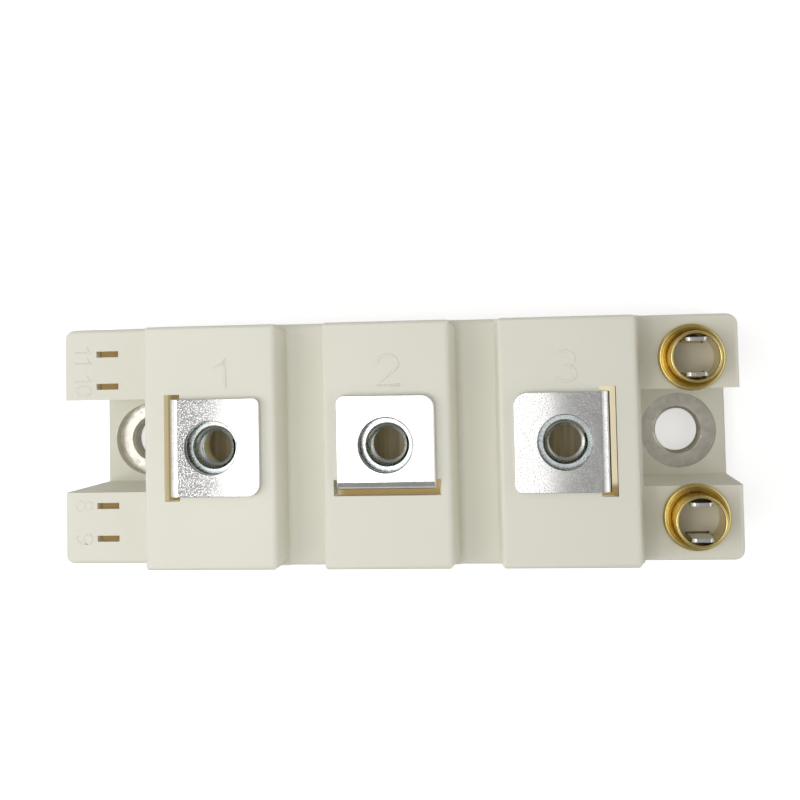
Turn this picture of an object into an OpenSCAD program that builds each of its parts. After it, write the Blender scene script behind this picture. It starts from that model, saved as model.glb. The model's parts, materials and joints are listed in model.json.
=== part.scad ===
// Half-bridge power module, 34 mm class: nickel-plated base plate, moulded housing,
// three screw terminals on top and four control contacts at one end.
// Millimetres. Origin at the centre of the mounting face, +X towards the control contacts,
// +Y towards the back row of contacts, +Z away from the heat sink.

/* [Module outline] */
// Length of the base plate
module_l = 94; // [92:0.5:97]
// Width of the base plate
module_w = 34; // [33.5:0.5:37]
// Height of the terminal faces above the mounting face
module_h = 30; // [29:0.5:32]
// Height of the end towers that guide the control contacts
tower_h = 22; // [20.5:0.5:23]
// Height of the valleys between the terminal blocks
valley_h = 24.4; // [23.6:0.2:26]
// Height of the moulded flange round the mounting holes
flange_h = 4.5; // [4:0.25:6]

/* [Mounting] */
// Distance from each mounting hole to its end of the base plate
mount_edge = 7; // [6:0.25:8]
// Diameter of the mounting holes
mount_hole_d = 6.4; // [5.5:0.1:6.6]
// Chamfer at the top of the mounting holes
mount_chamfer = 0.35; // [0.2:0.05:0.6]
// Diameter of the window in the flange round each mounting hole
flange_window_d = 11; // [10.5:0.1:11.5]
// Width of the screw recess between the two towers of one end
recess_w = 12.8; // [12.4:0.1:13.4]

/* [Base plate] */
// Thickness of the base plate
plate_t = 3; // [2.5:0.1:3.5]
// Radius of the base plate's corners
plate_corner_r = 1.5; // [0.5:0.25:2.5]

/* [Housing] */
// Length of the end towers, from the end of the base plate to the terminal blocks
tower_l = 13.8; // [12.5:0.1:15]
// Thickness of the housing's side walls
wall_t = 1.6; // [1.3:0.1:1.9]
// Thickness of the walls between the towers and the screw recesses
recess_wall_t = 1.2; // [1:0.1:1.4]
// Thickness of the housing's roofs
roof_t = 1.8; // [1.4:0.1:2.2]
// Set-back of the housing's foot from the edge of the base plate
rim_inset = 0.3; // [0.1:0.1:0.6]
// Draft of the outer walls
wall_draft = 1.5; // [0.5:0.25:2.5]
// Slope of the sides of the terminal blocks
block_slope = 8; // [4:0.5:10]
// Distance from a terminal's axis to the side of its block at a valley
block_side = 8.3; // [8.1:0.1:8.8]
// Distance from an end terminal's axis to the foot of its block, at the towers
block_foot = 10.2; // [9.6:0.1:10.4]
// Fillet along the top edges of the housing
edge_r = 0.7; // [0.3:0.1:1.2]
// Radius of the towers' outer corners at the foot
corner_r = 2.1; // [1.4:0.1:3]
// Chamfer on the upright corners of the terminal blocks
block_chamfer = 1.1; // [0.5:0.1:1.6]
// Thickness of the adhesive under the housing
glue_t = 0.15; // [0.1:0.05:0.3]

/* [Power terminals] */
// Thickness of the terminal sheet
term_t = 1; // [0.8:0.1:1.1]
// Width of the terminal sheet
term_w = 12.8; // [11.5:0.1:13.2]
// Distance from the screw axis to the free edge of the terminal
term_free = 6.45; // [6:0.05:7]
// Distance from the screw axis to the outer face of the terminal's leg
term_leg = 5.75; // [5.6:0.05:5.9]
// Outer radius of the terminal's bends
term_bend_r = 1.3; // [1.2:0.1:1.8]
// Diameter of the screw hole in the terminal
term_hole_d = 7; // [5.5:0.1:7.2]
// Radius of the terminal's plain free corner
term_corner_r = 0.9; // [0.5:0.1:2]
// Radius of the terminal's other free corner, which marks its front
term_key_r = 1.7; // [1:0.1:2.5]
// Width of the lower part of the terminal's leg, and of the copper link
leg_w = 4; // [3:0.2:4.6]
// Length of the terminal's solder foot
foot_l = 5; // [4:0.5:6]
// Room on each side of a leg in its slot
slot_side_gap = 0.6; // [0.3:0.1:0.8]
// Room outside a leg in its slot
slot_out_gap = 0.8; // [0.4:0.1:0.9]
// Room between a leg and its nut's boss
slot_in_gap = 0.3; // [0.15:0.05:0.35]

/* [Terminal nuts] */
// Width across the flats of the nuts
nut_af = 8; // [7:0.1:8]
// Thickness of the nuts
nut_h = 4; // [3.2:0.1:4.7]
// Core diameter of the thread
nut_core_d = 4.2; // [3.3:0.1:4.2]
// Diameter of the countersink at each end of the thread
nut_sink_d = 5.75; // [5.2:0.05:6.1]
// Diameter of the flat ring left on each face of a nut
nut_face_d = 7.6; // [7:0.1:7.9]
// Room between a nut and its pocket, across the flats
nut_gap = 0.2; // [0.1:0.05:0.25]
// Room left above each nut under its terminal
nut_top_gap = 0.05; // [0.02:0.01:0.2]
// Depth of the screw well under each nut
well_depth = 5.5; // [3:0.5:7]
// Diameter of the screw well under each nut
well_d = 6.2; // [5.5:0.1:6.8]

/* [Control contacts] */
// Distance from the module's centre to the contacts of one row
contact_row_y = 10.5; // [10.4:0.05:10.8]
// Distance between the two contacts of one row
contact_gap = 4.5; // [4.4:0.05:4.6]
// Width of a contact tab
tab_w = 2.8; // [2.4:0.1:2.8]
// Thickness of a contact tab
tab_t = 0.5; // [0.4:0.05:0.6]
// Height of the tab tips above the towers
tab_rise = 6; // [5:0.5:8]
// Room round a tab in its slot
tab_slot_gap = 0.17; // [0.1:0.01:0.25]
// Reach of a contact's shoulders past its tab
tab_shoulder = 0.6; // [0.4:0.1:1]
// Chamfer at the tip of a contact tab
tab_bevel = 0.45; // [0.2:0.05:0.8]
// Height of the contacts' runs inside the housing
run_h = 8; // [7:0.25:10]
// Width of the contacts' runs inside the housing
run_w = 1.6; // [1:0.1:2]
// Length of a contact's solder foot
contact_foot = 1.8; // [1.2:0.1:2]
// Distance from a contact's foot to the edge of its track
contact_inset = 0.4; // [0.3:0.1:0.8]

/* [Shorting eyelets] */
// Inner diameter of a shorting eyelet
eyelet_bore_d = 5.86; // [5.82:0.02:6.1]
// Wall of a shorting eyelet
eyelet_wall = 0.4; // [0.3:0.05:0.5]
// Diameter of an eyelet's flange
eyelet_flange_d = 8.9; // [8.4:0.1:9.4]
// Thickness of an eyelet's flange
eyelet_flange_t = 0.45; // [0.3:0.05:0.6]
// Radius of the rolled bead round an eyelet's flange
eyelet_bead_r = 0.4; // [0.35:0.05:0.5]
// Fillet radius between an eyelet's flange and its barrel
eyelet_root_r = 0.8; // [0.4:0.1:1]
// Height of an eyelet
eyelet_h = 5.5; // [4:0.5:6]

/* [Ceramic substrates] */
// Room between the ceramic substrates and the housing's walls
ceramic_room = 1.6; // [1:0.1:2]
// Thickness of the ceramic
ceramic_t = 0.4; // [0.3:0.05:0.7]
// Thickness of the copper on each side of the ceramic
copper_t = 0.3; // [0.2:0.05:0.4]
// Bare ceramic round the copper
ceramic_margin = 0.8; // [0.5:0.1:0.9]
// Gap between neighbouring copper tracks
track_gap = 0.8; // [0.5:0.1:0.9]
// Width of the emitter track
emitter_w = 7; // [6.8:0.1:7.4]
// Width of the gate pad
gate_pad_w = 2; // [1.8:0.1:2.4]
// Thickness of the solder layers
solder_t = 0.1; // [0.05:0.01:0.15]
// Gap between the two ceramic substrates
ceramic_gap = 1; // [0.6:0.1:1.2]

/* [Chips and wires] */
// Length of a transistor chip
igbt_l = 10; // [8:0.2:11]
// Side of a diode chip
diode_side = 7.2; // [6:0.2:8]
// Distance from a diode chip to the long edge of its track
diode_edge = 1.9; // [1:0.1:2.5]
// Distance from a transistor chip to the long edge of its track
igbt_edge = 1.3; // [0.8:0.1:1.5]
// Distance from a transistor chip to the end of its track at the wires
chip_inset = 1.5; // [1:0.1:2]
// Room between the chips and the terminal's foot or link that stands between them
lane_room = 0.5; // [0.3:0.1:0.8]
// Thickness of the chips
chip_t = 0.2; // [0.12:0.02:0.3]
// Diameter of the heavy bond wires
wire_d = 0.4; // [0.3:0.05:0.5]
// Diameter of the gate wires
gate_wire_d = 0.2; // [0.15:0.05:0.25]
// Distance from a chip's edge to its bond wires
wire_inset = 1.7; // [1.2:0.1:2.2]
// Distance from the edge of the emitter track to the end of its bond wires
wire_land = 0.7; // [0.5:0.05:1.2]
// Rise of the bond wires above the tracks
wire_rise = 1.6; // [1.2:0.1:2]
// Distance between neighbouring bond wires
wire_pitch = 1.9; // [1.4:0.1:2]
// Number of bond wires on each transistor chip
igbt_wires = 4; // [2:1:4]
// Number of bond wires on each diode chip
diode_wires = 3; // [2:1:3]
// Thickness of the copper link between the two substrates
link_t = 0.8; // [0.5:0.1:1]
// Rise of the copper link above the tracks
link_rise = 3.6; // [3:0.2:4.4]
// Length of each of the link's solder feet
link_foot = 3.6; // [2.5:0.1:3.8]
// Level of the silicone gel above the mounting face
gel_h = 12; // [10:0.5:14]
// Shrinkage of the gel away from the walls
gel_gap = 0.02; // [0.01:0.01:0.05]

/* [Hidden] */
$fn = 48;

// Small and large overlaps of cutting solids
eps = 0.01;
over = 1;
// Turn of a wire loop past its lands, before its ends are cut flat
loop_overrun = 12;
case_color = [0.90, 0.89, 0.85];
tin_color = [0.80, 0.80, 0.80];
nickel_color = [0.74, 0.73, 0.70];
brass_color = [0.80, 0.62, 0.25];
copper_color = [0.80, 0.47, 0.32];

// Levels
case_z = plate_t + glue_t;
block_h = module_h - term_t;
lower_copper_z = plate_t + solder_t;
ceramic_z = lower_copper_z + copper_t;
track_z = ceramic_z + ceramic_t;
pad_z = track_z + copper_t;
chip_z = pad_z + solder_t;
chip_top = chip_z + chip_t;
nut_z = block_h - nut_top_gap - nut_h;

// Plan positions
mount_x = module_l / 2 - mount_edge;
neck_x = module_l / 2 - tower_l;
term_pitch = neck_x - block_foot;
block_outer = block_foot - (block_h - tower_h) * tan(block_slope);
cavity_x = neck_x - wall_t;
tower_in = recess_w / 2 + recess_wall_t;
contact_x = mount_x;
outer_y = contact_row_y + contact_gap / 2;
inner_y = contact_row_y - contact_gap / 2;

// Leg slot in a terminal block
slot_in = term_leg - term_t - slot_in_gap;
slot_out = term_leg + slot_out_gap;
slot_l = term_w + 2 * slot_side_gap;
foot_shift = (term_w - leg_w) / 2;

// Boss that holds a nut under the roof
boss_r = nut_af / 2 + wall_t;
boss_z = nut_z - well_depth - roof_t;

// Substrate layout, from the centre of one substrate
ceramic_l = cavity_x - ceramic_room - ceramic_gap / 2;
ceramic_w = 2 * (half_w(case_z) - wall_t - ceramic_room);
ceramic_x = (ceramic_l + ceramic_gap) / 2;
copper_l = ceramic_l - 2 * ceramic_margin;
copper_w = ceramic_w - 2 * ceramic_margin;
emitter_u = copper_l / 2 - emitter_w;
collector_u = emitter_u - track_gap;
gate_v = -copper_w / 2 + gate_pad_w;
igbt_w = copper_w - igbt_edge - diode_edge - diode_side - leg_w - 2 * lane_room;
igbt_y = copper_w / 2 - igbt_edge - igbt_w / 2;
diode_y = copper_w / 2 - diode_edge - diode_side / 2;
chip_u = collector_u - chip_inset - igbt_l / 2;
wire_land_u = emitter_u + wire_land;
gate_wire_v = (gate_v - igbt_y - igbt_w / 2) / 2;
drop_x = ceramic_gap / 2 + ceramic_margin + contact_inset;
lane_v = diode_y - diode_side / 2 - lane_room - leg_w / 2;

// Half width and half length of the housing's outer walls at height z
function half_w(z) = module_w / 2 - rim_inset - (z - case_z) * tan(wall_draft);
function half_l(z) = module_l / 2 - rim_inset - (z - case_z) * tan(wall_draft);

// ---------------------------------------------------------------- profiles

// What a fillet of radius r takes off a corner whose side leans in by angle a
module corner_waste(r, a) {
    reach = r * tan((90 - a) / 2);
    difference() {
        polygon([[-reach, eps], [eps, eps], [r * sin(a), -r], [-reach + r * cos(a), -r + r * sin(a)],
            [-reach, -r]]);
        translate([-reach, -r]) circle(r);
    }
}

// Upright section whose sides lean in by angle a
module leaning_section(half_top, z0, z1, a) {
    half_foot = half_top + (z1 - z0) * tan(a);
    polygon([[-half_foot, z0], [half_foot, z0], [half_top, z1], [-half_top, z1]]);
}

// The same with a fillet of radius r along its two top corners
module moulded_section(half_top, z0, z1, a, r) {
    difference() {
        leaning_section(half_top, z0, z1, a);
        for (side = [0, 1])
            mirror([side, 0]) translate([half_top, z1]) corner_waste(r, a);
    }
}

// Quarter of a bent strip of thickness t with outer radius r, centre at the origin
module bend(r, t) {
    intersection() {
        difference() {
            circle(r);
            circle(r - t);
        }
        translate([-r, 0]) square(r);
    }
}

// Side view of a terminal: plate, bend, leg, bend and foot
module terminal_section() {
    r = term_bend_r;
    translate([-term_leg + r, block_h]) square([term_free + term_leg - r, term_t]);
    translate([-term_leg + r, module_h - r]) bend(r, term_t);
    translate([-term_leg, pad_z + r]) square([term_t, module_h - pad_z - 2 * r]);
    translate([-term_leg + r, pad_z + r]) mirror([0, 1]) bend(r, term_t);
    translate([-term_leg + r, pad_z]) square([foot_l - r, term_t]);
}

// Side view of a control contact whose drop to the substrate starts at x
module contact_section(x) {
    tip = tower_h + tab_rise;
    under_roof = tower_h - roof_t;
    half = tab_w / 2;
    translate([contact_x, 0])
        polygon([[-half, under_roof - eps], [half, under_roof - eps], [half, tip - tab_bevel],
            [half - tab_bevel, tip], [-half + tab_bevel, tip], [-half, tip - tab_bevel]]);
    translate([contact_x - half - tab_shoulder, under_roof - tab_w])
        square([tab_w + 2 * tab_shoulder, tab_w]);
    translate([contact_x - run_w / 2, run_h]) square([run_w, under_roof - tab_w - run_h + eps]);
    translate([x, run_h]) square([contact_x + run_w / 2 - x, run_w]);
    translate([x, pad_z]) square([run_w, run_h - pad_z + eps]);
}

// Half of the eyelet's wall in section: flange, rolled bead, barrel and rolled rim
module eyelet_section() {
    bore_r = eyelet_bore_d / 2;
    bead_x = eyelet_flange_d / 2 - eyelet_bead_r;
    root_x = eyelet_wall + eyelet_root_r;
    root_z = eyelet_flange_t + eyelet_root_r;
    translate([bore_r, 0]) square([eyelet_wall, eyelet_h - eyelet_wall / 2]);
    translate([bore_r + eyelet_wall / 2, eyelet_h - eyelet_wall / 2]) circle(eyelet_wall / 2);
    translate([bore_r, 0]) square([bead_x - bore_r, eyelet_flange_t]);
    translate([bead_x, eyelet_bead_r]) circle(eyelet_bead_r);
    difference() {
        translate([bore_r, 0]) square([root_x, root_z]);
        translate([bore_r + root_x, root_z]) circle(eyelet_root_r);
    }
}

// ---------------------------------------------------------------- placing

// Extrusion along X of a section drawn across the module
module along_x(x0, x1) {
    translate([x0, 0, 0]) rotate([90, 0, 90]) linear_extrude(x1 - x0) children();
}

// Extrusion along Y of a section drawn along the module
module along_y(y0, y1) {
    translate([0, y1, 0]) rotate([90, 0, 0]) linear_extrude(y1 - y0) children();
}

// A box centred on the origin in plan, with its underside at z
module box_at(l, w, h, z) {
    translate([-l / 2, -w / 2, z]) cube([l, w, h]);
}

module both_ends() {
    for (end = [0, 1]) mirror([end, 0, 0]) children();
}

module four_corners() {
    for (side = [0, 1]) mirror([0, side, 0]) both_ends() children();
}

// Terminal 1 has its leg on the left, 2 on the front and 3 on the right
module at_terminal(number) {
    translate([(number - 2) * term_pitch, 0, 0]) rotate(90 * (number - 1)) children();
}

// The left substrate as drawn, the right one turned half round
module on_substrate(side) {
    rotate(side == "left" ? 0 : 180) translate([-ceramic_x, 0, 0]) children();
}

// ---------------------------------------------------------------- housing

// What the drafted, rounded upright corners take off at the four ends
module end_corner_waste() {
    rise = tower_h - case_z + 2 * eps;
    translate([half_l(case_z) - corner_r, half_w(case_z) - corner_r, case_z - eps])
        difference() {
            cube([corner_r + over, corner_r + over, rise]);
            cylinder(h = rise, r1 = corner_r, r2 = corner_r - rise * tan(wall_draft));
        }
}

// Full-length lower body, up to the height of the towers
module lower_body() {
    difference() {
        intersection() {
            along_x(-module_l, module_l)
                moulded_section(half_w(tower_h), case_z, tower_h, wall_draft, edge_r);
            along_y(-module_w, module_w)
                moulded_section(half_l(tower_h), case_z, tower_h, wall_draft, edge_r);
        }
        four_corners() end_corner_waste();
        both_ends() translate([neck_x, -recess_w / 2, flange_h])
            cube([module_l, recess_w, module_h]);
    }
}

// Ridge between the end blocks, at the height of the valleys
module valley_body() {
    reach = term_pitch + block_outer - edge_r;
    along_x(-reach, reach)
        moulded_section(half_w(valley_h), tower_h - edge_r, valley_h, wall_draft, edge_r);
}

// Plan of a block with its upright corners chamfered above the valleys
module block_plan(span) {
    x = span + (block_h - valley_h) * tan(block_slope);
    y = half_w(valley_h);
    c = block_chamfer;
    polygon([[-x, -y + c], [-x + c, -y], [x - c, -y], [x, -y + c],
        [x, y - c], [x - c, y], [-x + c, y], [-x, y - c]]);
}

// One terminal block; left and right are its reaches from the screw axis at the top
module block(left, right) {
    span = (left + right) / 2;
    deep = tower_h - edge_r;
    translate([(right - left) / 2, 0, 0]) intersection() {
        along_x(-module_l, module_l)
            moulded_section(half_w(block_h), deep, block_h, wall_draft, edge_r);
        along_y(-module_w, module_w)
            moulded_section(span, deep, block_h, block_slope, edge_r);
        union() {
            linear_extrude(block_h) block_plan(span);
            box_at(module_l, module_w, valley_h, 0);
        }
    }
}

module blocks() {
    translate([-term_pitch, 0, 0]) block(block_outer, block_side);
    block(block_side, block_side);
    translate([term_pitch, 0, 0]) block(block_side, block_outer);
}

// Hollow of the housing's middle and towers, each from z0 up to its own level,
// with its sides set back from the walls by gap
module lower_hollow(z0, middle_z, tower_z, gap) {
    back = wall_t + gap;
    along_x(-cavity_x + gap, cavity_x - gap)
        leaning_section(half_w(middle_z) - back, z0, middle_z, wall_draft);
    four_corners() intersection() {
        along_x(cavity_x - wall_t, module_l)
            leaning_section(half_w(tower_z) - back, z0, tower_z, wall_draft);
        along_y(tower_in + gap, module_w)
            leaning_section(half_l(tower_z) - back, z0, tower_z, wall_draft);
    }
}

// Hollow under the roof of one block
module block_hollow(left, right) {
    top = block_h - roof_t;
    low = valley_h - roof_t - over;
    depth = half_w(top) - wall_t;
    translate([-left + wall_t, -depth, low])
        cube([left + right - 2 * wall_t, 2 * depth, top - low]);
}

module block_hollows() {
    translate([-term_pitch, 0, 0]) block_hollow(block_outer, block_side);
    block_hollow(block_side, block_side);
    translate([term_pitch, 0, 0]) block_hollow(block_side, block_outer);
}

// Boss round a nut and its screw well, stopping short of the leg's slot
module nut_boss() {
    translate([-slot_in, -boss_r, boss_z]) cube([slot_in + boss_r, 2 * boss_r, block_h - boss_z]);
}

// Nut pocket, screw well and leg slot of one terminal
module terminal_sockets() {
    translate([0, 0, nut_z]) rotate(30)
        cylinder(h = block_h, d = (nut_af + nut_gap) / cos(30), $fn = 6);
    translate([0, 0, nut_z - well_depth]) cylinder(h = block_h, d = well_d);
    translate([-slot_out, -slot_l / 2, block_h - roof_t - eps])
        cube([slot_out - slot_in, slot_l, roof_t + over]);
}

// Slots for one tower's two contact tabs; the towers at both ends have them
module contact_slots() {
    l = tab_w + 2 * tab_slot_gap;
    w = tab_t + 2 * tab_slot_gap;
    for (y = [inner_y, outer_y])
        translate([contact_x, y, 0]) box_at(l, w, module_h, tower_h - roof_t - eps);
}

module housing() {
    color(case_color) difference() {
        union() {
            lower_body();
            valley_body();
            blocks();
        }
        difference() {
            union() {
                lower_hollow(plate_t, valley_h - roof_t, tower_h - roof_t, 0);
                block_hollows();
            }
            for (number = [1, 2, 3]) at_terminal(number) nut_boss();
        }
        for (number = [1, 2, 3]) at_terminal(number) terminal_sockets();
        four_corners() contact_slots();
        both_ends() translate([mount_x, 0, 0]) cylinder(h = module_h, d = flange_window_d);
    }
}

// Bead of adhesive between the housing's foot and the base plate
module sealing_adhesive() {
    color("gainsboro") difference() {
        box_at(2 * half_l(case_z), 2 * half_w(case_z), glue_t, plate_t);
        translate([0, 0, -glue_t]) four_corners() end_corner_waste();
        lower_hollow(plate_t - over, case_z + over, case_z + over, 0);
        both_ends() translate([mount_x, 0, 0]) cylinder(h = module_h, d = flange_window_d);
    }
}

// ---------------------------------------------------------------- base plate

module base_plate() {
    l = module_l - 2 * plate_corner_r;
    w = module_w - 2 * plate_corner_r;
    hole_r = mount_hole_d / 2;
    color(nickel_color) difference() {
        union() {
            box_at(l, module_w, plate_t, 0);
            box_at(module_l, w, plate_t, 0);
            four_corners() translate([l / 2, w / 2, 0]) cylinder(h = plate_t, r = plate_corner_r);
        }
        both_ends() translate([mount_x, 0, 0]) {
            translate([0, 0, -over]) cylinder(h = plate_t + 2 * over, r = hole_r);
            translate([0, 0, plate_t - mount_chamfer])
                cylinder(h = mount_chamfer + eps, r1 = hole_r, r2 = hole_r + mount_chamfer + eps);
        }
    }
}

// ---------------------------------------------------------------- terminals

// What a corner radius takes off a plate's corner at the origin
module plate_corner_waste(r) {
    translate([-r, -r, block_h - eps]) difference() {
        cube([r + over, r + over, term_t + 2 * eps]);
        cylinder(h = term_t + 2 * eps, r = r);
    }
}

// One folded terminal; shift moves the lower leg and foot sideways along the plate
module terminal(number, shift) {
    half = term_w / 2;
    color(tin_color) at_terminal(number) difference() {
        along_y(-half, half) terminal_section();
        cylinder(h = module_h + over, d = term_hole_d);
        translate([term_free, half, 0]) plate_corner_waste(term_corner_r);
        mirror([0, 1, 0]) translate([term_free, half, 0]) plate_corner_waste(term_key_r);
        for (y = [shift + leg_w / 2, shift - leg_w / 2 - term_w])
            translate([-term_leg - over, y, 0]) cube([term_w, term_w, boss_z]);
    }
}

module terminal_1() { terminal(1, lane_v); }
module terminal_2() { terminal(2, foot_shift); }
module terminal_3() { terminal(3, lane_v); }

// Hexagon nut with its flats towards the terminal's leg
module nut(number) {
    corner = nut_af / cos(30) / 2;
    face = nut_face_d / 2;
    bevel = (corner - face) * tan(30);
    flare = (nut_sink_d - nut_core_d) / 2;
    color("lightsteelblue") at_terminal(number) translate([0, 0, nut_z]) difference() {
        intersection() {
            rotate(30) cylinder(h = nut_h, r = corner, $fn = 6);
            rotate_extrude() polygon([[0, 0], [face, 0], [corner, bevel], [corner, nut_h - bevel],
                [face, nut_h], [0, nut_h]]);
        }
        translate([0, 0, -over]) cylinder(h = nut_h + 2 * over, d = nut_core_d);
        translate([0, 0, nut_h - flare])
            cylinder(h = flare + eps, d1 = nut_core_d, d2 = nut_sink_d + 2 * eps);
        translate([0, 0, -eps])
            cylinder(h = flare + eps, d1 = nut_sink_d + 2 * eps, d2 = nut_core_d);
    }
}

module nut_1() { nut(1); }
module nut_2() { nut(2); }
module nut_3() { nut(3); }

// ---------------------------------------------------------------- control contacts

// Stamped contact: tab, shoulders, run and drop, with a solder foot bent towards the middle
module control_contact(y, x) {
    color(tin_color) translate([0, y, 0]) {
        along_y(-tab_t / 2, tab_t / 2) contact_section(x);
        mirror([0, y > 0 ? 1 : 0, 0]) translate([x, -tab_t / 2, pad_z])
            cube([run_w, contact_foot + tab_t / 2, tab_t]);
    }
}

module control_contact_4() { control_contact(outer_y, drop_x); }
module control_contact_5() { control_contact(inner_y, drop_x); }
module control_contact_6() { control_contact(-inner_y, -drop_x - run_w); }
module control_contact_7() { control_contact(-outer_y, -drop_x - run_w); }

// Brass eyelet that joins the two contacts of one row until the module is wired
module shorting_eyelet(y) {
    color(brass_color) translate([contact_x, y, tower_h]) rotate_extrude() eyelet_section();
}

module back_shorting_eyelet() { shorting_eyelet(contact_row_y); }
module front_shorting_eyelet() { shorting_eyelet(-contact_row_y); }

// ---------------------------------------------------------------- substrates

module solder_layer(side) {
    color("silver") on_substrate(side) box_at(copper_l, copper_w, solder_t, plate_t);
}

module lower_copper(side) {
    color(copper_color) on_substrate(side) box_at(copper_l, copper_w, copper_t, lower_copper_z);
}

module ceramic(side) {
    color("white") on_substrate(side) box_at(ceramic_l, ceramic_w, ceramic_t, ceramic_z);
}

// Collector, emitter and gate tracks of one substrate
module tracks(side) {
    half_l = copper_l / 2;
    half_w = copper_w / 2;
    emitter_v = gate_v + track_gap;
    color(copper_color) on_substrate(side) translate([0, 0, track_z]) linear_extrude(copper_t) {
        translate([-half_l, -half_w]) square([half_l + collector_u, copper_w]);
        translate([emitter_u, emitter_v]) square([emitter_w, half_w - emitter_v]);
        translate([emitter_u, -half_w]) square([emitter_w, gate_pad_w]);
    }
}

module left_solder_layer() { solder_layer("left"); }
module right_solder_layer() { solder_layer("right"); }
module left_lower_copper() { lower_copper("left"); }
module right_lower_copper() { lower_copper("right"); }
module left_ceramic() { ceramic("left"); }
module right_ceramic() { ceramic("right"); }
module left_tracks() { tracks("left"); }
module right_tracks() { tracks("right"); }

module on_both_substrates() {
    for (side = ["left", "right"]) on_substrate(side) children();
}

module chip_solder() {
    color("silver") on_both_substrates() {
        translate([chip_u, -igbt_y, 0]) box_at(igbt_l, igbt_w, solder_t, pad_z);
        translate([chip_u, diode_y, 0]) box_at(diode_side, diode_side, solder_t, pad_z);
    }
}

module igbt_chips() {
    color("dimgray") on_both_substrates()
        translate([chip_u, -igbt_y, 0]) box_at(igbt_l, igbt_w, chip_t, chip_z);
}

module diode_chips() {
    color("gray") on_both_substrates()
        translate([chip_u, diode_y, 0]) box_at(diode_side, diode_side, chip_t, chip_z);
}

// Wire loop from the top of a chip at u0 to a track at u1, cut flat where it is bonded
module bond_wire(u0, v, d) {
    span = wire_land_u - u0;
    middle = (wire_land_u + u0) / 2;
    r = (span * span / 4 + wire_rise * wire_rise) / (2 * wire_rise);
    sweep = asin(span / 2 / r) + loop_overrun;
    difference() {
        translate([middle, v, pad_z + wire_rise - r]) rotate([90, 0, 0]) rotate(90 - sweep)
            rotate_extrude(angle = 2 * sweep) translate([r, 0]) circle(d / 2, $fn = 16);
        translate([middle - 2 * r, v - d, 0]) cube([2 * r, 2 * d, chip_top]);
        translate([middle - eps, v - d, 0]) cube([2 * r, 2 * d, pad_z]);
    }
}

module bond_wires() {
    color("whitesmoke") on_both_substrates() {
        for (i = [0 : igbt_wires - 1])
            bond_wire(chip_u + igbt_l / 2 - wire_inset,
                (i - (igbt_wires - 1) / 2) * wire_pitch - igbt_y, wire_d);
        for (i = [0 : diode_wires - 1])
            bond_wire(chip_u + diode_side / 2 - wire_inset,
                (i - (diode_wires - 1) / 2) * wire_pitch + diode_y, wire_d);
        bond_wire(chip_u + igbt_l / 2 - wire_inset, gate_wire_v, gate_wire_d);
    }
}

// Copper strap from the right emitter track over to the left collector track
module phase_link() {
    left = collector_u - ceramic_x - contact_inset;
    right = drop_x;
    top = pad_z + link_rise;
    low = pad_z + link_t;
    color(copper_color) along_y(lane_v - leg_w / 2, lane_v + leg_w / 2)
        polygon([[left - link_foot, pad_z], [left, pad_z], [left, top - link_t], [right, top - link_t],
            [right, pad_z], [right + link_foot, pad_z], [right + link_foot, low],
            [right + link_t, low], [right + link_t, top], [left - link_t, top],
            [left - link_t, low], [left - link_foot, low]]);
}

// Soft gel poured over the substrates up to gel_h
module silicone_gel() {
    wire_top = pad_z + wire_rise + wire_d;
    color("aliceblue", 0.4) difference() {
        lower_hollow(plate_t, gel_h, gel_h, gel_gap);
        box_at(2 * ceramic_l + ceramic_gap, ceramic_w, wire_top - plate_t, plate_t);
        terminal_1();
        terminal_2();
        terminal_3();
        control_contact_4();
        control_contact_5();
        control_contact_6();
        control_contact_7();
        phase_link();
    }
}

// ---------------------------------------------------------------- nodes

base_plate();
sealing_adhesive();
housing();
left_solder_layer();
right_solder_layer();
left_lower_copper();
right_lower_copper();
left_ceramic();
right_ceramic();
left_tracks();
right_tracks();
chip_solder();
igbt_chips();
diode_chips();
bond_wires();
phase_link();
terminal_1();
terminal_2();
terminal_3();
nut_1();
nut_2();
nut_3();
control_contact_4();
control_contact_5();
control_contact_6();
control_contact_7();
back_shorting_eyelet();
front_shorting_eyelet();
silicone_gel();
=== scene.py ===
"""Looks of the half-bridge power module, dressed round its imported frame. Metres."""
import json
import math

import bmesh
import bpy
from mathutils import Matrix, Vector
from mathutils.bvhtree import BVHTree


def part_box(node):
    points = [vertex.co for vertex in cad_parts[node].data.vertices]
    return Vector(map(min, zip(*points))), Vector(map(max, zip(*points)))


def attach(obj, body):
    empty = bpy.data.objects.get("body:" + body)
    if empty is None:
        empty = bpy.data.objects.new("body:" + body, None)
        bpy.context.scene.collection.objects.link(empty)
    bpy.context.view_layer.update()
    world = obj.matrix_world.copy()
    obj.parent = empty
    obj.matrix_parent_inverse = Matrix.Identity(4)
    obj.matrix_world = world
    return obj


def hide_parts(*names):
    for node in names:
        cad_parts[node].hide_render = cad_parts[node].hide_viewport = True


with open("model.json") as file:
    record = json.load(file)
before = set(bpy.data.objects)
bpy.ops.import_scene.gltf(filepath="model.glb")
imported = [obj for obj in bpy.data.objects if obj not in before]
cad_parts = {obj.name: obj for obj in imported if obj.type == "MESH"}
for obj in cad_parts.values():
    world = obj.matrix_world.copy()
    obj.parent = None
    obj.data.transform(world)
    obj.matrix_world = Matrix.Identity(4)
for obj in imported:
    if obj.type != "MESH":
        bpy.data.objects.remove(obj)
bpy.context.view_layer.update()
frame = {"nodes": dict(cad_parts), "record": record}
nodes = frame["nodes"]
MM = 0.001
BODY = "root"  # nothing moves, so that every piece rides on this one body


# ------------------------------------------------------------------ sizes

def centre_of(node):
    low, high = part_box(node)
    return (Vector(low) + Vector(high)) / 2


def top_of(node):
    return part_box(node)[1][2]


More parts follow.
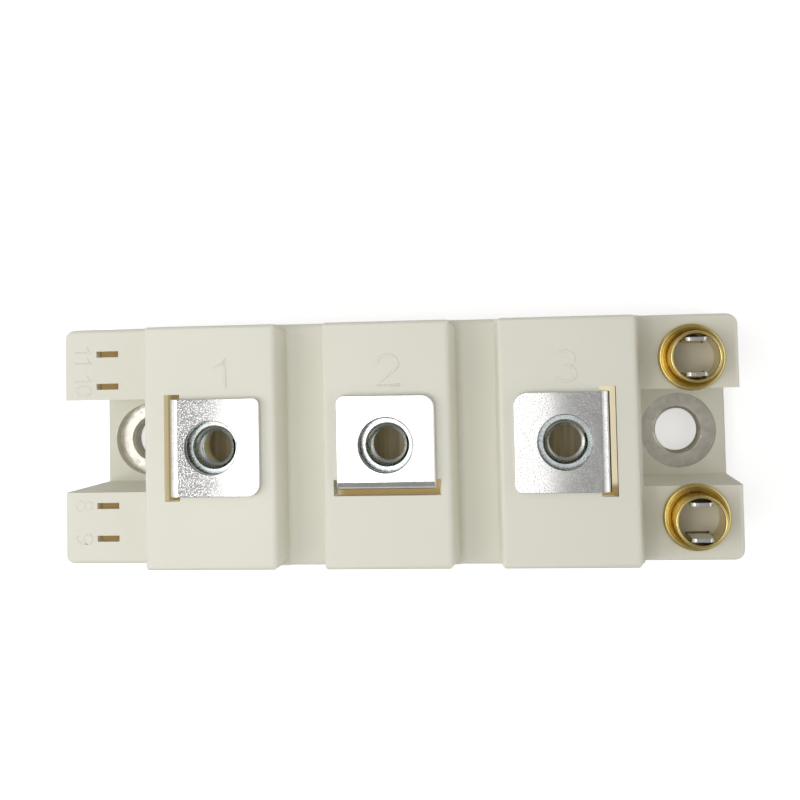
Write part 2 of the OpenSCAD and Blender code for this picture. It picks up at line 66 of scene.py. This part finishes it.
PLATE_THICK = 1.0 * MM  # the terminals' plates, which lie on the blocks
block_top = top_of("terminal_1") - PLATE_THICK
tower_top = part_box("back_shorting_eyelet")[0][2]
term_pitch = centre_of("nut_3").x
eyelet_x = centre_of("back_shorting_eyelet").x
row_y = centre_of("back_shorting_eyelet").y
last_plate_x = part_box("terminal_3")[1][0]

# The housing
WELL_FLOOR_Z = (19 * MM, 20 * MM)  # the floors of the nuts' wells lie between these
CAVITY_HALF_Y = 14 * MM            # all inner walls lie within this
SLOT_WALL_GAP = 0.8 * MM           # from the last plate to the outer wall of its leg's slot

# The base plate's screw holes
HOLE_X = 40 * MM
HOLE_REACH = 3.5 * MM              # a little more than their radius
MOUTH_BEVEL = 0.38 * MM

# The nuts: the solids' plain bores at the core radius get an M5 thread
NUT_SUNK = 0.8 * MM
CORE_R = 2.1 * MM
CREST_R = 2.12 * MM                # hardly inside the core radius
ROOT_R = 2.5 * MM
COUNTERSINK_R = 2.88 * MM
THREAD_PITCH = 0.8 * MM


# ------------------------------------------------------------------ camera

CAMERA_PLACE = (0.02031, 0.00874, 0.17377)
CAMERA_TURN = Vector((0.04871, 0.09849, -0.02428))  # axis times angle


def make_camera():
    data = bpy.data.cameras.new("camera")
    data.sensor_width = 36
    data.lens = 50.63
    data.shift_x = -0.038
    data.shift_y = -0.100
    data.clip_start = 0.01
    camera = bpy.data.objects.new("camera", data)
    turn = Matrix.Rotation(CAMERA_TURN.length, 4, CAMERA_TURN.normalized())
    camera.matrix_world = Matrix.Translation(CAMERA_PLACE) @ turn
    bpy.context.scene.collection.objects.link(camera)
    bpy.context.scene.camera = camera


# ------------------------------------------------------------------ shader nodes

def add(tree, kind, links=None, **values):
    """A node of that kind; values set its properties, links feed or set its inputs."""
    node = tree.nodes.new(kind)
    for key, value in values.items():
        setattr(node, key, value)
    for key, value in (links or {}).items():
        if isinstance(value, bpy.types.NodeSocket):
            tree.links.new(value, node.inputs[key])
        else:
            node.inputs[key].default_value = value
    return node


def object_point(tree):
    """The shaded point, in the piece's own space."""
    return add(tree, "ShaderNodeTexCoord").outputs["Object"]


def parts_of(tree, vector):
    """The outputs X, Y and Z of a vector."""
    return add(tree, "ShaderNodeSeparateXYZ", {"Vector": vector}).outputs


def calc(tree, operation, *terms):
    return add(tree, "ShaderNodeMath", dict(enumerate(terms)), operation=operation).outputs[0]


def ramp(tree, value, low, high, start=0.0, end=1.0, shape="LINEAR"):
    """Runs from start to end while value runs from low to high, and holds outside them."""
    return add(tree, "ShaderNodeMapRange",
               {"Value": value, "From Min": low, "From Max": high, "To Min": start, "To Max": end},
               interpolation_type=shape).outputs["Result"]


def blend(tree, share, first, second):
    """The colour first where share is 0, second where it is 1."""
    return add(tree, "ShaderNodeMix", {"Factor": share, 6: first, 7: second},
               data_type="RGBA").outputs[2]


def rgba(red, green, blue):
    return (red, green, blue, 1.0)


def new_group(name, inputs, outputs):
    """A shader group, what it is given, and the sockets for its results."""
    group = bpy.data.node_groups.new(name, "ShaderNodeTree")
    for label, kind, value in inputs:
        socket = group.interface.new_socket(label, in_out="INPUT", socket_type=kind)
        socket.default_value = value
    for label, kind in outputs:
        group.interface.new_socket(label, in_out="OUTPUT", socket_type=kind)
    given = group.nodes.new("NodeGroupInput").outputs
    result = group.nodes.new("NodeGroupOutput").inputs
    return group, given, result


def cloud_tint_group():
    """A colour that drifts slowly over the surface between two tints."""
    group, given, result = new_group(
        "cloud_tint",
        [("Light", "NodeSocketColor", rgba(1, 1, 1)),
         ("Dark", "NodeSocketColor", rgba(0.9, 0.9, 0.9)), ("Scale", "NodeSocketFloat", 60.0)],
        [("Color", "NodeSocketColor")])
    noise = add(group, "ShaderNodeTexNoise",
                {"Vector": object_point(group), "Scale": given["Scale"], "Detail": 4.0})
    share = ramp(group, noise.outputs["Fac"], 0.35, 0.65)
    group.links.new(blend(group, share, given["Dark"], given["Light"]), result["Color"])
    return group


def grain_group():
    """Fine random grain: a height for bump, and the same as a mask."""
    group, given, result = new_group(
        "fine_grain",
        [("Scale", "NodeSocketFloat", 3000.0), ("Detail", "NodeSocketFloat", 3.0)],
        [("Height", "NodeSocketFloat"), ("Mask", "NodeSocketFloat")])
    noise = add(group, "ShaderNodeTexNoise",
                {"Vector": object_point(group), "Scale": given["Scale"], "Detail": given["Detail"],
                 "Roughness": 0.6})
    group.links.new(noise.outputs["Fac"], result["Height"])
    group.links.new(ramp(group, noise.outputs["Fac"], 0.42, 0.62), result["Mask"])
    return group


def pits_group():
    """Small scattered pits with flat ground between them; the mask is 1 in a pit."""
    group, given, result = new_group(
        "pits",
        [("Scale", "NodeSocketFloat", 2500.0), ("Amount", "NodeSocketFloat", 0.35)],
        [("Height", "NodeSocketFloat"), ("Mask", "NodeSocketFloat")])
    noise = add(group, "ShaderNodeTexNoise",
                {"Vector": object_point(group), "Scale": given["Scale"], "Detail": 2.0,
                 "Distortion": 0.6})
    floor_level = calc(group, "SUBTRACT", given["Amount"], 0.10)
    height = ramp(group, noise.outputs["Fac"], floor_level, given["Amount"], shape="SMOOTHSTEP")
    group.links.new(height, result["Height"])
    group.links.new(calc(group, "SUBTRACT", 1.0, height), result["Mask"])
    return group


GROUPS = {"tint": cloud_tint_group(), "grain": grain_group(), "pits": pits_group()}


def place_group(tree, name, **values):
    """The outputs of that group, with its inputs set."""
    node = tree.nodes.new("ShaderNodeGroup")
    node.node_tree = GROUPS[name]
    for key, value in values.items():
        node.inputs[key.title()].default_value = value
    return node.outputs


# ------------------------------------------------------------------ materials

def new_material(name, **values):
    """A Principled material; values set the shader's own sockets."""
    material = bpy.data.materials.new(name)
    material.use_nodes = True
    shader = material.node_tree.nodes["Principled BSDF"]
    for key, value in values.items():
        shader.inputs[key.replace("_", " ")].default_value = value
    return material, material.node_tree, shader


def rough_between(tree, shader, mask, smooth, rough):
    tree.links.new(ramp(tree, mask, 0.0, 1.0, smooth, rough), shader.inputs["Roughness"])


def bump(tree, shader, height, depth, strength=0.5):
    node = add(tree, "ShaderNodeBump", {"Height": height, "Distance": depth, "Strength": strength})
    tree.links.new(node.outputs["Normal"], shader.inputs["Normal"])


def base_colour(tree, shader, colour):
    tree.links.new(colour, shader.inputs["Base Color"])


def glow(tree, shader, colour):
    """Painted light: a faint emission of the surface's own that stands in for daylight coming
    through from behind it.
    """
    tree.links.new(colour, shader.inputs["Emission Color"])
    shader.inputs["Emission Strength"].default_value = 1.0


def grained(name, light, dark, tint_scale, grain_scale, roughness, depth=None, strength=0.5,
            detail=2.0, **values):
    """Two close tints under a fine grain, which roughens the surface and, given a depth in mm,
    dents it. Returns the material, its tree, its shader and the tint."""
    material, tree, shader = new_material(name, **values)
    tint = place_group(tree, "tint", light=rgba(*light), dark=rgba(*dark),
                       scale=tint_scale)["Color"]
    base_colour(tree, shader, tint)
    grain = place_group(tree, "grain", scale=grain_scale, detail=detail)
    rough_between(tree, shader, grain["Mask"], *roughness)
    if depth:
        bump(tree, shader, grain["Height"], depth * MM, strength)
    return material, tree, shader, tint


def inner_finish(name, light, dark, tint_scale, smooth, rough, depth, **values):
    """For the pieces that show little or lie inside the housing."""
    return grained(name, light, dark, tint_scale, 3000.0, (smooth, rough), depth, **values)[0]


def moulded_plastic(name, light=(0.800, 0.782, 0.676), dark=(0.772, 0.755, 0.652)):
    return grained(name, light, dark, 45.0, 5200.0, (0.40, 0.52), 0.010, Specular_IOR_Level=0.4)


def inner_walls_painted_glow_and_shade():
    """The inner walls, drawn in a darker tint as painted shade inside the moulding. Painted light:
    their tops glow as though daylight came through the thin plastic. Painted shade: the floors of
    the nuts' wells are dark and streaky, and the last slot's outer wall is dark."""
    # Painted shade: the case's own plastic, drawn darker for the inner walls
    material, tree, shader, tint = moulded_plastic(
        "case_inner_walls_painted_shade_glow", light=(0.52, 0.46, 0.30), dark=(0.48, 0.42, 0.27))
    point = object_point(tree)
    place = parts_of(tree, point)
    # Painted shade: past this x, on the last slot's outer wall, the walls are drawn nearly black
    in_shade = ramp(tree, place["X"], 29.1 * MM, 29.2 * MM)

    # Painted light: the walls glow more the higher they stand, and hardly at all on the shaded slot
    # wall
    high_up = ramp(tree, place["Z"], 19.5 * MM, 27 * MM)
    top_glow = blend(tree, in_shade, rgba(0.33, 0.29, 0.18), rgba(0.03, 0.028, 0.018))
    glow(tree, shader, blend(tree, high_up, rgba(0.02, 0.016, 0.008), top_glow))

    # Painted shade: the floors of the nuts' wells are drawn darker, with streaks drawn out along y
    drawn_out = add(tree, "ShaderNodeVectorMath", {0: point, 1: (1.0, 0.06, 1.0)},
                    operation="MULTIPLY")
    streaks = add(tree, "ShaderNodeTexNoise",
                  {"Vector": drawn_out.outputs["Vector"], "Scale": 900.0, "Detail": 2.0})
    sharp_streaks = ramp(tree, streaks.outputs["Fac"], 0.40, 0.60)
    well_floor_painted_shade = blend(tree, sharp_streaks, rgba(0.24, 0.215, 0.165), rgba(0.40, 0.365, 0.29))
    above_floor = ramp(tree, place["Z"], 19.6 * MM, 20.6 * MM)
    lit = blend(tree, above_floor, well_floor_painted_shade, tint)
    # Painted shade: nearly black on the wall beyond the last slot
    base_colour(tree, shader, blend(tree, in_shade, lit, rgba(0.07, 0.066, 0.048)))
    return material


def tinned_sheet():
    """Bright tin with small dull pits."""
    material, tree, shader = new_material("tinned_sheet", Metallic=1.0)
    tint = place_group(tree, "tint", light=rgba(0.88, 0.87, 0.85), dark=rgba(0.80, 0.79, 0.78),
                       scale=420.0)["Color"]
    pits = place_group(tree, "pits", scale=6200.0, amount=0.43)
    rough_between(tree, shader, pits["Mask"], 0.10, 0.20)
    bump(tree, shader, pits["Height"], 0.0045 * MM, 0.8)
    base_colour(tree, shader, blend(tree, pits["Mask"], tint, rgba(0.56, 0.56, 0.53)))
    return material


def nickel_plate():
    return grained("nickel_plate", (0.68, 0.65, 0.58), (0.56, 0.53, 0.47), 900.0, 2600.0,
                   (0.30, 0.48), 0.05, strength=0.7, detail=4.0, Metallic=1.0)[0]


def zinc(name):
    return grained(name, (0.70, 0.75, 0.76), (0.55, 0.60, 0.61), 700.0, 3400.0, (0.20, 0.34),
                   0.012, Metallic=1.0)


def thread_with_painted_root_shade():
    """The nuts' finish inside the bore, with painted shade that darkens the roots between the
    turns.
    """
    material, tree, shader, tint = zinc("nut_thread")
    place = parts_of(tree, object_point(tree))
    past_gap = calc(tree, "ADD", place["X"], term_pitch / 2)
    nut_x = calc(tree, "SNAP", past_gap, term_pitch)
    across = calc(tree, "SUBTRACT", place["X"], nut_x)
    flat = add(tree, "ShaderNodeCombineXYZ", {"X": across, "Y": place["Y"]})
    radius = add(tree, "ShaderNodeVectorMath", {0: flat.outputs["Vector"]}, operation="LENGTH")
    # Painted shade: darker toward the thread's root radius
    root_shade_share = ramp(tree, radius.outputs["Value"], 2.2 * MM, 2.42 * MM)
    base_colour(tree, shader, blend(tree, root_shade_share, tint, rgba(0.42, 0.43, 0.38)))
    return material


def polished_brass():
    """Brass with faint rings left by rolling, about each eyelet's own axis."""
    material, tree, shader, _ = grained(
        "brass_eyelet", (0.72, 0.58, 0.24), (0.58, 0.45, 0.17), 380.0, 3800.0, (0.14, 0.22),
        Metallic=1.0)
    place = parts_of(tree, object_point(tree))
    along = calc(tree, "SUBTRACT", place["X"], eyelet_x)
    across = calc(tree, "SUBTRACT", calc(tree, "ABSOLUTE", place["Y"]), row_y)
    flat = add(tree, "ShaderNodeCombineXYZ", {"X": along, "Y": across})
    rings = add(tree, "ShaderNodeTexWave",
                {"Vector": flat.outputs["Vector"], "Scale": 1400.0, "Distortion": 1.5,
                 "Detail": 2.0},
                wave_type="RINGS", rings_direction="Z")
    bump(tree, shader, rings.outputs["Fac"], 0.004 * MM)
    return material


def gel_with_painted_glow():
    """Milky gel with painted light: it glows faintly, more below the terminals' slots, most at the
    last of them, and least toward the sides, below the narrow slots of the tabs, as though daylight
    came in through the slots."""
    material, tree, shader, _ = grained(
        "silicone", (0.62, 0.56, 0.40), (0.55, 0.50, 0.35), 80.0, 1500.0, (0.15, 0.25),
        Transmission_Weight=0.3, IOR=1.41)
    place = parts_of(tree, object_point(tree))
    # Painted light: the glow's strength by place, below the slots
    at_side = ramp(tree, calc(tree, "ABSOLUTE", place["Y"]), 6.8 * MM, 7.6 * MM)
    at_last_slot = ramp(tree, place["X"], 27 * MM, 28 * MM)
    middle = blend(tree, at_last_slot, rgba(0.34, 0.29, 0.165), rgba(0.52, 0.48, 0.37))
    glow(tree, shader, blend(tree, at_side, middle, rgba(0.17, 0.12, 0.05)))
    return material


MATERIALS = {
    "case_plastic": moulded_plastic("case_plastic")[0],
    "case_inner_walls_painted_shade_glow": inner_walls_painted_glow_and_shade(),
    "tinned_sheet": tinned_sheet(),
    # the plates' sheared hole walls: duller metal, drawn darker still as painted shade
    "sheared_edge_painted_shade": inner_finish("sheared_edge_painted_shade", (0.42, 0.42, 0.38), (0.30, 0.30, 0.27),
                                 900, 0.28, 0.42, 0.02, Metallic=1.0),
    "nickel_plate": nickel_plate(),
    "zinc_nut": zinc("zinc_nut")[0],
    "nut_thread": thread_with_painted_root_shade(),
    "brass_eyelet": polished_brass(),
    "bare_copper": inner_finish("bare_copper", (0.72, 0.36, 0.22), (0.60, 0.28, 0.16),
                                300, 0.25, 0.4, 0.01, Metallic=1.0),
    "solder": inner_finish("solder", (0.56, 0.57, 0.58), (0.45, 0.46, 0.47),
                           500, 0.3, 0.5, 0.03, Metallic=1.0),
    "ceramic": inner_finish("ceramic", (0.86, 0.86, 0.84), (0.80, 0.80, 0.78),
                            200, 0.3, 0.4, 0.004),
    "silicon": inner_finish("silicon", (0.20, 0.21, 0.24), (0.14, 0.15, 0.18),
                            250, 0.15, 0.25, 0.002, Metallic=0.6),
    "bond_aluminium": inner_finish("bond_aluminium", (0.78, 0.79, 0.80), (0.70, 0.71, 0.72),
                                   800, 0.25, 0.35, 0.004, Metallic=1.0),
    "silicone": gel_with_painted_glow(),
    "adhesive": inner_finish("adhesive", (0.74, 0.73, 0.70), (0.66, 0.65, 0.62),
                             150, 0.45, 0.6, 0.03),
}


# ------------------------------------------------------------------ mesh helpers

def copy_of(node, whole_flats=True):
    """A merged bmesh copy of a CAD node, as a rule with its flat faces made whole again."""
    bm = bmesh.new()
    bm.from_mesh(nodes[node].data)
    bmesh.ops.remove_doubles(bm, verts=bm.verts, dist=2e-6)
    if whole_flats:
        bmesh.ops.dissolve_limit(bm, angle_limit=math.radians(0.3), verts=bm.verts, edges=bm.edges)
    return bm


def round_edges(bm, width, segments=2, sharper_than=30, where=None):
    """Rounds the edges whose faces meet at more than that angle and whose middle where takes."""
    edges = [edge for edge in bm.edges
             if len(edge.link_faces) == 2 and edge.calc_face_angle(0) > math.radians(sharper_than)
             and (where is None or where((edge.verts[0].co + edge.verts[1].co) / 2))]
    bmesh.ops.bevel(bm, geom=edges, offset=width, offset_type="OFFSET", segments=segments,
                    profile=0.5, affect="EDGES", clamp_overlap=True, material=-1)


def spread_rays(count=28):
    """Directions spread evenly over the upper half of a sphere."""
    golden_turn = math.pi * (3 - math.sqrt(5))
    rays = []
    for i in range(count):
        up = (i + 0.5) / count
        out = math.sqrt(1 - up * up)
        rays.append(Vector((out * math.cos(golden_turn * i), out * math.sin(golden_turn * i), up)))
    return rays


def mark_inner_walls(bm, open_share=0.28):
    """Gives material 1, with its painted shade and glow, to the faces inside, from which few rays
    get clear of the moulding, and to the last slot's outer wall.
    """
    tree = BVHTree.FromBMesh(bm)
    rays = spread_rays()
    slot_wall_x = last_plate_x + SLOT_WALL_GAP
    for face in bm.faces:
        start = face.calc_center_median() + face.normal * 0.01 * MM
        lean = Vector((0, 0, 1)).rotation_difference(face.normal)
        clear = sum(tree.ray_cast(start, lean @ ray)[0] is None for ray in rays)
        well_floor = WELL_FLOOR_Z[0] < start.z < WELL_FLOOR_Z[1]
        open_floor = face.normal.z > 0.9 and not well_floor
        inside = face.normal.z > -0.9 and not open_floor and abs(start.y) < CAVITY_HALF_Y
        slot_wall = abs(abs(start.x) - slot_wall_x) < 0.05 * MM and abs(face.normal.x) > 0.9
        face.material_index = int(inside and (slot_wall or clear < open_share * len(rays)))


def make_piece(name, bm, look, stands_for=None, soft_angle=35, inner_look=None):
    """Turns the bmesh into a piece of the module; faces with material 1 get the inner look."""
    for face in bm.faces:
        face.smooth = True
    for edge in bm.edges:
        is_soft = edge.calc_face_angle(0) < math.radians(soft_angle)
        edge.smooth = len(edge.link_faces) == 2 and is_soft
    mesh = bpy.data.meshes.new(name)
    bm.to_mesh(mesh)
    bm.free()
    mesh.materials.append(MATERIALS[look])
    if inner_look:
        mesh.materials.append(MATERIALS[inner_look])
    piece = bpy.data.objects.new(name, mesh)
    bpy.context.scene.collection.objects.link(piece)
    flats = piece.modifiers.new("flats_stay_flat", "WEIGHTED_NORMAL")
    flats.keep_sharp = True
    flats.weight = 80
    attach(piece, BODY)
    if stands_for:
        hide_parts(stands_for)
    return piece


def lathe(outline, centre, steps=96):
    """A closed ring about the upright axis through centre; outline is (radius, height) in mm."""
    bm = bmesh.new()
    verts = [bm.verts.new((radius * MM, 0, height * MM)) for radius, height in outline]
    edges = [bm.edges.new((verts[i], verts[(i + 1) % len(verts)])) for i in range(len(verts))]
    bmesh.ops.spin(bm, geom=verts + edges, cent=(0, 0, 0), axis=(0, 0, 1), angle=2 * math.pi,
                   steps=steps, use_merge=True, use_duplicate=False)
    bmesh.ops.remove_doubles(bm, verts=bm.verts, dist=1e-7)
    bmesh.ops.recalc_face_normals(bm, faces=bm.faces)
    bmesh.ops.translate(bm, verts=bm.verts, vec=centre)
    return bm


def oval(x, y, wide, high, start=0, end=360, steps=14):
    """Points along an oval, or a part of it, in degrees from +x."""
    angles = [math.radians(start + (end - start) * i / steps) for i in range(steps + 1)]
    return [(x + wide * math.cos(angle), y + high * math.sin(angle)) for angle in angles]


# ------------------------------------------------------------------ pieces

def dress_base_plate():
    bm = copy_of("base_plate")
    top = top_of("base_plate")

    def at_hole_mouth(point):
        return (point.z > top - 0.1 * MM and abs(abs(point.x) - HOLE_X) < HOLE_REACH
                and abs(point.y) < HOLE_REACH)

    round_edges(bm, MOUTH_BEVEL, segments=1, where=at_hole_mouth)
    round_edges(bm, 0.12 * MM, sharper_than=60)
    make_piece("base_plate_finished", bm, "nickel_plate", "base_plate")


def dress_housing():
    bm = copy_of("housing", whole_flats=False)
    # the inner walls get the material with painted shade and glow
    mark_inner_walls(bm)
    make_piece("housing_moulding", bm, "case_plastic", "housing", inner_look="case_inner_walls_painted_shade_glow")


def dress_terminals():
    hole_r = 3.9 * MM  # a little more than the plates' holes
    for number in (1, 2, 3):
        node = f"terminal_{number}"
        bm = copy_of(node)
        below_plate = top_of(node) - PLATE_THICK - 0.2 * MM
        hole = centre_of(f"nut_{number}")
        round_edges(bm, 0.16 * MM, segments=3)
        # The holes' walls get duller metal, their sheared edges, darkened further as painted shade
        for face in bm.faces:
            spot = face.calc_center_median()
            in_hole = (spot - hole).to_2d().length < hole_r and spot.z > below_plate
            face.material_index = int(in_hole and face.normal.z < 0.97)
        make_piece(f"terminal_{number}_folded", bm, "tinned_sheet", node, inner_look="sheared_edge_painted_shade")


def thread_ridge(bottom, top):
    """A nut's thread as one helical ridge, on the upright axis through the origin."""
    bm = bmesh.new()
    foot_r = ROOT_R + 0.15 * MM
    upper_half = [(CREST_R, 0.08), (ROOT_R, 0.40), (foot_r, 0.46)]
    lower_half = [(radius, -turns) for radius, turns in reversed(upper_half)]
    profile = [bm.verts.new((radius, 0, turns * THREAD_PITCH))
               for radius, turns in lower_half + upper_half]
    turns = (top - bottom) / THREAD_PITCH
    steps = round(turns * 40)
    bmesh.ops.spin(bm, geom=[bm.faces.new(profile)], cent=(0, 0, 0), axis=(0, 0, 1),
                   angle=2 * math.pi * turns, dvec=(0, 0, (top - bottom) / steps), steps=steps,
                   use_merge=False, use_duplicate=False)
    bmesh.ops.remove_doubles(bm, verts=bm.verts, dist=1e-7)
    bmesh.ops.recalc_face_normals(bm, faces=bm.faces)
    cut_from = top - bottom - 0.8 * THREAD_PITCH
    for vert in bm.verts:  # the last turn runs out along the countersink
        cone = min(CREST_R + max(0.0, vert.co.z - cut_from), foot_r)
        away = vert.co.to_2d()
        if away.length < cone:
            vert.co.x, vert.co.y = away.normalized() * cone
    bmesh.ops.translate(bm, verts=bm.verts, vec=(0, 0, bottom))
    return bm


def dress_nuts():
    for number in (1, 2, 3):
        node = f"nut_{number}"
        middle = centre_of(node)
        low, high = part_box(node)
        bm = copy_of(node)

        def reach(point):
            return (point - middle).to_2d().length

        for vert in bm.verts:
            if reach(vert.co) < COUNTERSINK_R:  # open the bore to the thread's root
                widened = ROOT_R + 0.5 * max(0.0, reach(vert.co) - CORE_R)
                away = (vert.co - middle).to_2d().normalized() * widened
                vert.co.x, vert.co.y = middle.x + away.x, middle.y + away.y
            if vert.co.z > middle.z:
                vert.co.z -= NUT_SUNK
        round_edges(bm, 0.07 * MM, where=lambda point: reach(point) > 3.2 * MM)
        for face in bm.faces:
            in_bore = reach(face.calc_center_median()) < ROOT_R + 0.1 * MM
            face.material_index = int(in_bore and abs(face.normal.z) < 0.5)
        make_piece(f"nut_{number}_plated", bm, "zinc_nut", node, inner_look="nut_thread")
        ridge = thread_ridge(low[2] + 0.5 * MM, high[2] - NUT_SUNK - 0.25 * MM)
        bmesh.ops.translate(ridge, verts=ridge.verts, vec=(middle.x, middle.y, 0))
        make_piece(f"nut_{number}_thread", ridge, "nut_thread", soft_angle=50)


def dress_contacts():
    for number in (4, 5, 6, 7):
        node = f"control_contact_{number}"
        bm = copy_of(node)
        round_edges(bm, 0.05 * MM, where=lambda point: point.z > tower_top)
        make_piece(f"contact_{number}_tab", bm, "tinned_sheet", node)


def dress_eyelets():
    """Rolled tubes with a curled flange at the foot and a round lip; outline in mm."""
    flange = [(2.93, 0.0), (4.0, 0.0)] + oval(4.05, 0.4, 0.4, 0.4, -90, 120, 12)
    neck = [(3.75, 0.52), (3.62, 0.60)] + oval(3.83, 1.02, 0.47, 0.47, 225, 180, 4)
    lip = [(3.33, 5.2)] + oval(3.13, 5.3, 0.2, 0.2, 0, 180, 8)
    for side, node in ((1, "back_shorting_eyelet"), (-1, "front_shorting_eyelet")):
        bm = lathe(flange + neck + lip, Vector((eyelet_x, side * row_y, tower_top)))
        make_piece(node + "_rolled", bm, "brass_eyelet", node)


# Strokes of the numerals, in a box one high that starts at the lower left
STROKES = {
    "0": [oval(0.30, 0.5, 0.28, 0.48)],
    "1": [[(0.38, 0.02), (0.38, 0.98), (0.28, 0.82), (0.05, 0.70)]],
    "2": [[(0.02, 0.74)] + oval(0.36, 0.70, 0.34, 0.28, 165, -35, 10)
          + [(0.02, 0.02), (0.76, 0.02)]],
    "3": [oval(0.34, 0.74, 0.30, 0.24, 155, -90, 10) + oval(0.34, 0.26, 0.34, 0.24, 90, -155, 10)],
    "8": [oval(0.30, 0.76, 0.24, 0.22), oval(0.30, 0.26, 0.30, 0.24)],
    "9": [oval(0.30, 0.70, 0.28, 0.27), [(0.58, 0.70), (0.54, 0.30), (0.34, 0.02), (0.08, 0.10)]],
}
DIGIT_STEP = 0.62          # from one digit to the next, as a share of the height
STROKE_SUNK = 0.07 * MM    # how far the strokes' axes lie below the surface


def numeral_curve(digits, height, stroke):
    """The digits' strokes as round bars of that width, lying flat at the origin."""
    curve = bpy.data.curves.new("numeral", "CURVE")
    curve.dimensions = "3D"
    curve.bevel_depth = stroke / 2
    curve.bevel_resolution = 3
    curve.use_fill_caps = True
    for place, digit in enumerate(digits):
        for points in STROKES[digit]:
            closed = math.dist(points[0], points[-1]) < 0.001
            ends = points[:-1] if closed else points
            spline = curve.splines.new("POLY")
            spline.points.add(len(ends) - 1)
            spline.use_cyclic_u = closed
            for point, (right, up) in zip(spline.points, ends):
                point.co = ((right + place * DIGIT_STEP) * height, up * height, 0, 1)
    return curve


def numeral(digits, corner, height, stroke, turned=False):
    """Digits as low raised ridges; corner is the first digit's lower left, on the surface."""
    shape = bpy.data.objects.new("numeral", numeral_curve(digits, height, stroke))
    bpy.context.scene.collection.objects.link(shape)
    mesh = bpy.data.meshes.new_from_object(
        shape.evaluated_get(bpy.context.evaluated_depsgraph_get()))
    bpy.data.objects.remove(shape)
    bm = bmesh.new()
    bm.from_mesh(mesh)
    bmesh.ops.remove_doubles(bm, verts=bm.verts, dist=1e-7)
    bmesh.ops.scale(bm, verts=bm.verts, vec=(1, 1, 0.9))
    if turned:
        bmesh.ops.rotate(bm, verts=bm.verts, cent=(0, 0, 0),
                         matrix=Matrix.Rotation(-math.pi / 2, 3, "Z"))
    bmesh.ops.translate(bm, verts=bm.verts, vec=(corner[0], corner[1], corner[2] - STROKE_SUNK))
    bmesh.ops.recalc_face_normals(bm, faces=bm.faces)
    make_piece(f"numeral_{digits}", bm, "case_plastic")


def place_numerals():
    for text, x in (("1", -term_pitch + 0.2 * MM), ("2", -1.2 * MM), ("3", term_pitch - 1.2 * MM)):
        numeral(text, (x, 7.6 * MM, block_top), 4.1 * MM, 0.46 * MM)
    for text, y in (("11", 13.9), ("10", 9.9), ("8", -7.5), ("9", -12.1)):
        numeral(text, (-44.7 * MM, y * MM, tower_top), 2.4 * MM, 0.36 * MM, turned=True)


# ------------------------------------------------------------------ studio

def area_lamp(name, size_x, size_y, place, aim, radiance):
    data = bpy.data.lights.new(name, "AREA")
    data.shape = "RECTANGLE"
    data.size = size_x
    data.size_y = size_y
    data.energy = radiance * math.pi * size_x * size_y
    lamp = bpy.data.objects.new(name, data)
    look = (Vector(aim) - Vector(place)).to_track_quat("-Z", "Y")
    lamp.matrix_world = Matrix.Translation(place) @ look.to_matrix().to_4x4()
    bpy.context.scene.collection.objects.link(lamp)


def make_world():
    """A white ground for the camera; for light, a dim dome that is brighter at both ends in x."""
    world = bpy.data.worlds.new("world")
    bpy.context.scene.world = world
    world.use_nodes = True
    tree = world.node_tree
    background = tree.nodes["Background"]
    way = add(tree, "ShaderNodeTexCoord").outputs["Generated"]
    side = parts_of(tree, way)["X"]
    right_end = ramp(tree, side, 0.3, 1.0, 0.31, 1.3)
    left_end = ramp(tree, side, -0.45, -1.0, 0.0, 0.9)
    dome = calc(tree, "ADD", right_end, left_end)
    seen = tree.nodes.new("ShaderNodeLightPath").outputs["Is Camera Ray"]
    level = add(tree, "ShaderNodeMix", {"Factor": seen, "A": dome, "B": 1.0})
    background.inputs["Color"].default_value = rgba(1, 1, 1)
    tree.links.new(level.outputs["Result"], background.inputs["Strength"])


def make_floor():
    """A floor that is plain white to the camera and throws less light back at the part."""
    bm = bmesh.new()
    bmesh.ops.create_grid(bm, x_segments=1, y_segments=1, size=3.0)
    mesh = bpy.data.meshes.new("floor")
    bm.to_mesh(mesh)
    bm.free()
    floor = bpy.data.objects.new("floor", mesh)
    bpy.context.scene.collection.objects.link(floor)
    material, tree, shader = new_material("floor", Roughness=0.9, Specular_IOR_Level=0.1)
    seen = tree.nodes.new("ShaderNodeLightPath").outputs["Is Camera Ray"]
    base_colour(tree, shader, blend(tree, seen, rgba(0.75, 0.75, 0.75), rgba(0.95, 0.95, 0.95)))
    shader.inputs["Emission Color"].default_value = rgba(1, 1, 1)
    tree.links.new(calc(tree, "MULTIPLY", seen, 0.45), shader.inputs["Emission Strength"])
    mesh.materials.append(material)


def make_studio():
    area_lamp("overhead_panel", 0.126, 0.26, (-0.039, -0.020, 0.30), (-0.039, -0.020, 0.0), 1.15)
    area_lamp("near_panel", 0.036, 0.16, (-0.040, -0.010, 0.19), (-0.040, -0.010, 0.0), 2.0)
    area_lamp("left_key", 0.12, 0.12, (-0.165, -0.020, 0.22), (-0.035, 0.0, 0.02), 2.8)
    make_world()
    make_floor()


# ------------------------------------------------------------------ assembly

make_camera()
for subpart in frame["record"]["subparts"]:
    mesh = nodes[subpart["node"]].data
    mesh.materials.clear()
    mesh.materials.append(MATERIALS[subpart["material_slot"]])
dress_base_plate()
dress_housing()
dress_terminals()
dress_nuts()
dress_contacts()
dress_eyelets()
place_numerals()
make_studio()
bpy.context.scene.view_settings.view_transform = "Standard"
